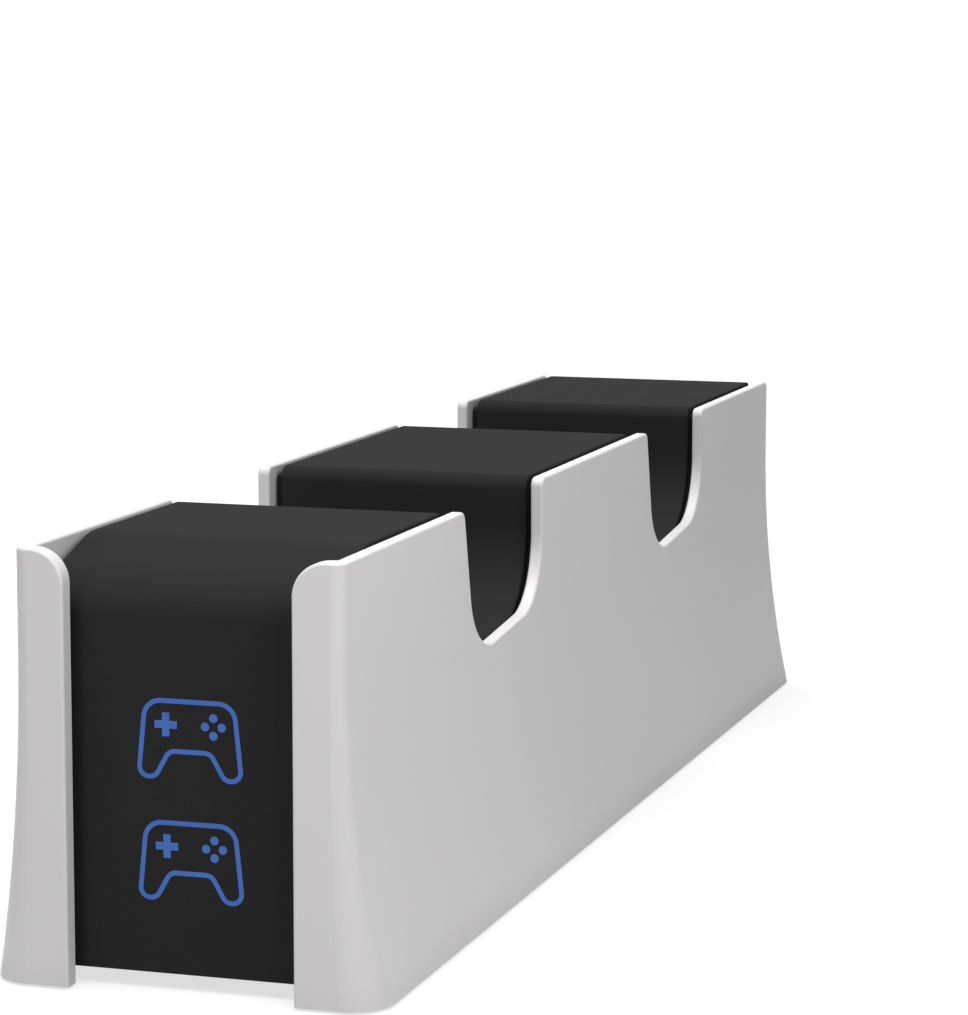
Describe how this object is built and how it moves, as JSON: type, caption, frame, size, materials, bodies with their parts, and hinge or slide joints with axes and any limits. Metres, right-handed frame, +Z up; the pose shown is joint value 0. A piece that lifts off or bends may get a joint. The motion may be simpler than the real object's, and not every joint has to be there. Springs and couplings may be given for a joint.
{
  "type": "controller charging dock",
  "caption": "Long desktop charging dock with flared pale side panels, a dark shell with wells for game controllers, upright charging plugs and lit controller icons on the nose.",
  "frame": {"origin": "on the table, under the middle of the dock", "axes": "+Y runs along the dock from the lit front to the rear, +X across it to the right as seen from the front, +Z up"},
  "size_m": [0.0614, 0.2676, 0.065],
  "materials": {
    "black_housing": "black moulded plastic with a fine grain",
    "black_plate": "black moulded plastic, plain",
    "white_panel": "white moulded plastic with a soft sheen",
    "circuit_board": "green lacquered board",
    "plated_steel": "plated steel",
    "chip_black": "black epoxy",
    "inductor_grey": "dark grey ferrite",
    "capacitor_can": "drawn aluminium can",
    "lead_socket_white": "off-white nylon",
    "lead_grey": "grey flat lead",
    "screw_steel": "dark zinc-plated steel",
    "plug_black": "black moulded plastic",
    "lamp_lens": "pale blue moulded lens",
    "light_guide": "clear plastic that glows blue when lit",
    "foot_rubber": "dark grey rubber"
  },
  "bodies": {
    "root": {"upper_housing": "black_housing", "base_plate": "black_plate", "left_panel": "white_panel", "right_panel": "white_panel", "main_board": "circuit_board", "input_socket": "plated_steel", "control_chip": "chip_black", "power_inductors": "inductor_grey", "filter_capacitors": "capacitor_can", "lead_sockets": "lead_socket_white", "front_lead": "lead_grey", "rear_lead": "lead_grey", "indicator_lead": "lead_grey", "indicator_board": "circuit_board", "base_screws": "screw_steel", "board_screws": "screw_steel", "panel_screws": "screw_steel", "front_plug_body": "plug_black", "rear_plug_body": "plug_black", "front_plug_shell": "plated_steel", "rear_plug_shell": "plated_steel", "front_plug_board": "circuit_board", "rear_plug_board": "circuit_board", "lower_lamp": "lamp_lens", "upper_lamp": "lamp_lens", "lower_light_guide": "light_guide", "upper_light_guide": "light_guide", "front_left_foot": "foot_rubber", "front_right_foot": "foot_rubber", "rear_left_foot": "foot_rubber", "rear_right_foot": "foot_rubber"}
  },
  "joints": []
}
